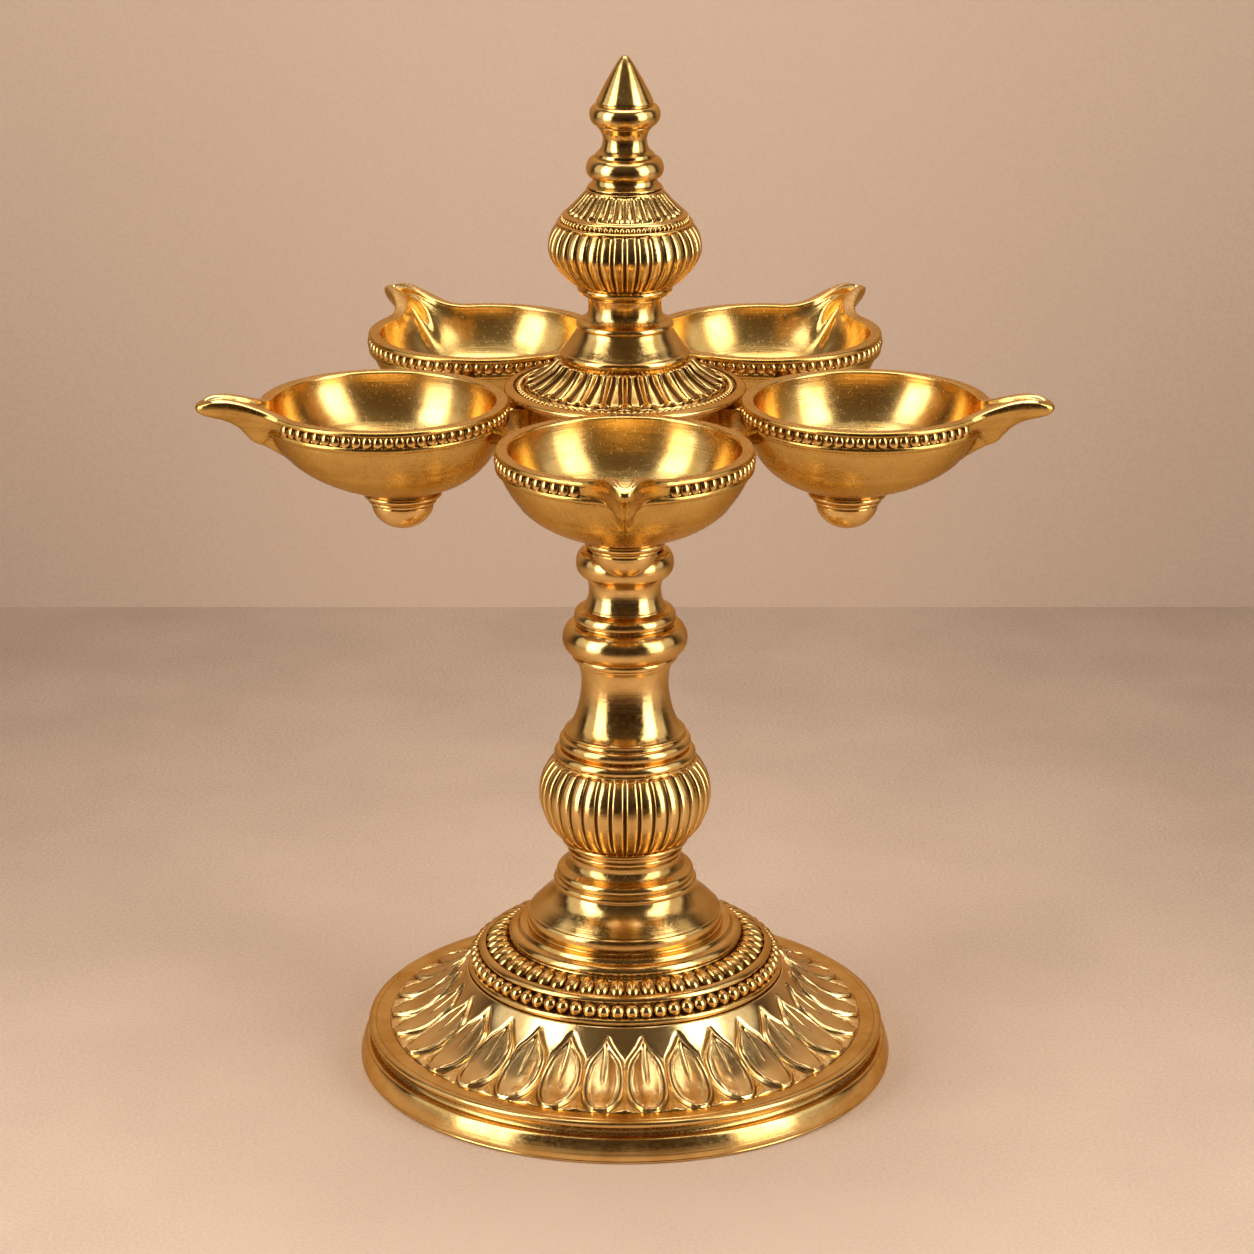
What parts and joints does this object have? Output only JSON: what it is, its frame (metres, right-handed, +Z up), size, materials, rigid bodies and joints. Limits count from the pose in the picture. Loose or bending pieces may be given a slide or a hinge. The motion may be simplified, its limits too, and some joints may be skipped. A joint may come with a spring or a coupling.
{
  "type": "standing five-wick oil lamp",
  "caption": "Standing brass oil lamp: a ring of spouted cups round a turned, fluted column, on a broad petalled foot, with a pointed finial.",
  "frame": {"origin": "on the surface the foot stands on, under the middle of the lamp's overall box; the turned axis is 12 mm behind it", "axes": "+Z up along the column, -Y towards the front, where the spout of cup_1 points, +X to the viewer's right"},
  "size_m": [0.241, 0.2292, 0.305],
  "materials": {
    "polished_brass": "turned and polished yellow brass, darkened in the grooves",
    "satin_brass": "cast yellow brass, smoothed and brushed to a satin",
    "raw_brass": "dull unpolished brass of the hidden fastening"
  },
  "bodies": {
    "root": {"foot": "polished_brass", "bell_collar": "polished_brass", "fluted_knop": "polished_brass", "knop_cap": "polished_brass", "stem_waist": "polished_brass", "ring_knop": "polished_brass", "top_collar": "polished_brass", "tie_rod": "raw_brass", "rod_washer": "raw_brass", "rod_nut": "raw_brass"},
    "cup_ring": {"hub": "satin_brass", "petal_canopy": "polished_brass", "upper_bell": "polished_brass", "fluted_bulb": "polished_brass", "cup_1": "satin_brass", "cup_2": "satin_brass", "cup_3": "satin_brass", "cup_4": "satin_brass", "cup_5": "satin_brass", "cup_boss_1": "polished_brass", "cup_boss_2": "polished_brass", "cup_boss_3": "polished_brass", "cup_boss_4": "polished_brass", "cup_boss_5": "polished_brass", "cup_tie_1": "satin_brass", "cup_tie_2": "satin_brass", "cup_tie_3": "satin_brass", "cup_tie_4": "satin_brass", "cup_tie_5": "satin_brass"},
    "spire": {"spire": "polished_brass"}
  },
  "joints": [
    {"name": "cup_ring_turn", "type": "hinge", "parent": "root", "child": "cup_ring", "pos_m": [0, 0.012, 0.16], "axis": [0, 0, 1], "continuous": true},
    {"name": "spire_lift", "type": "slide", "parent": "root", "child": "spire", "axis": [0, 0, 1], "range_m": [0, 0.03]}
  ]
}
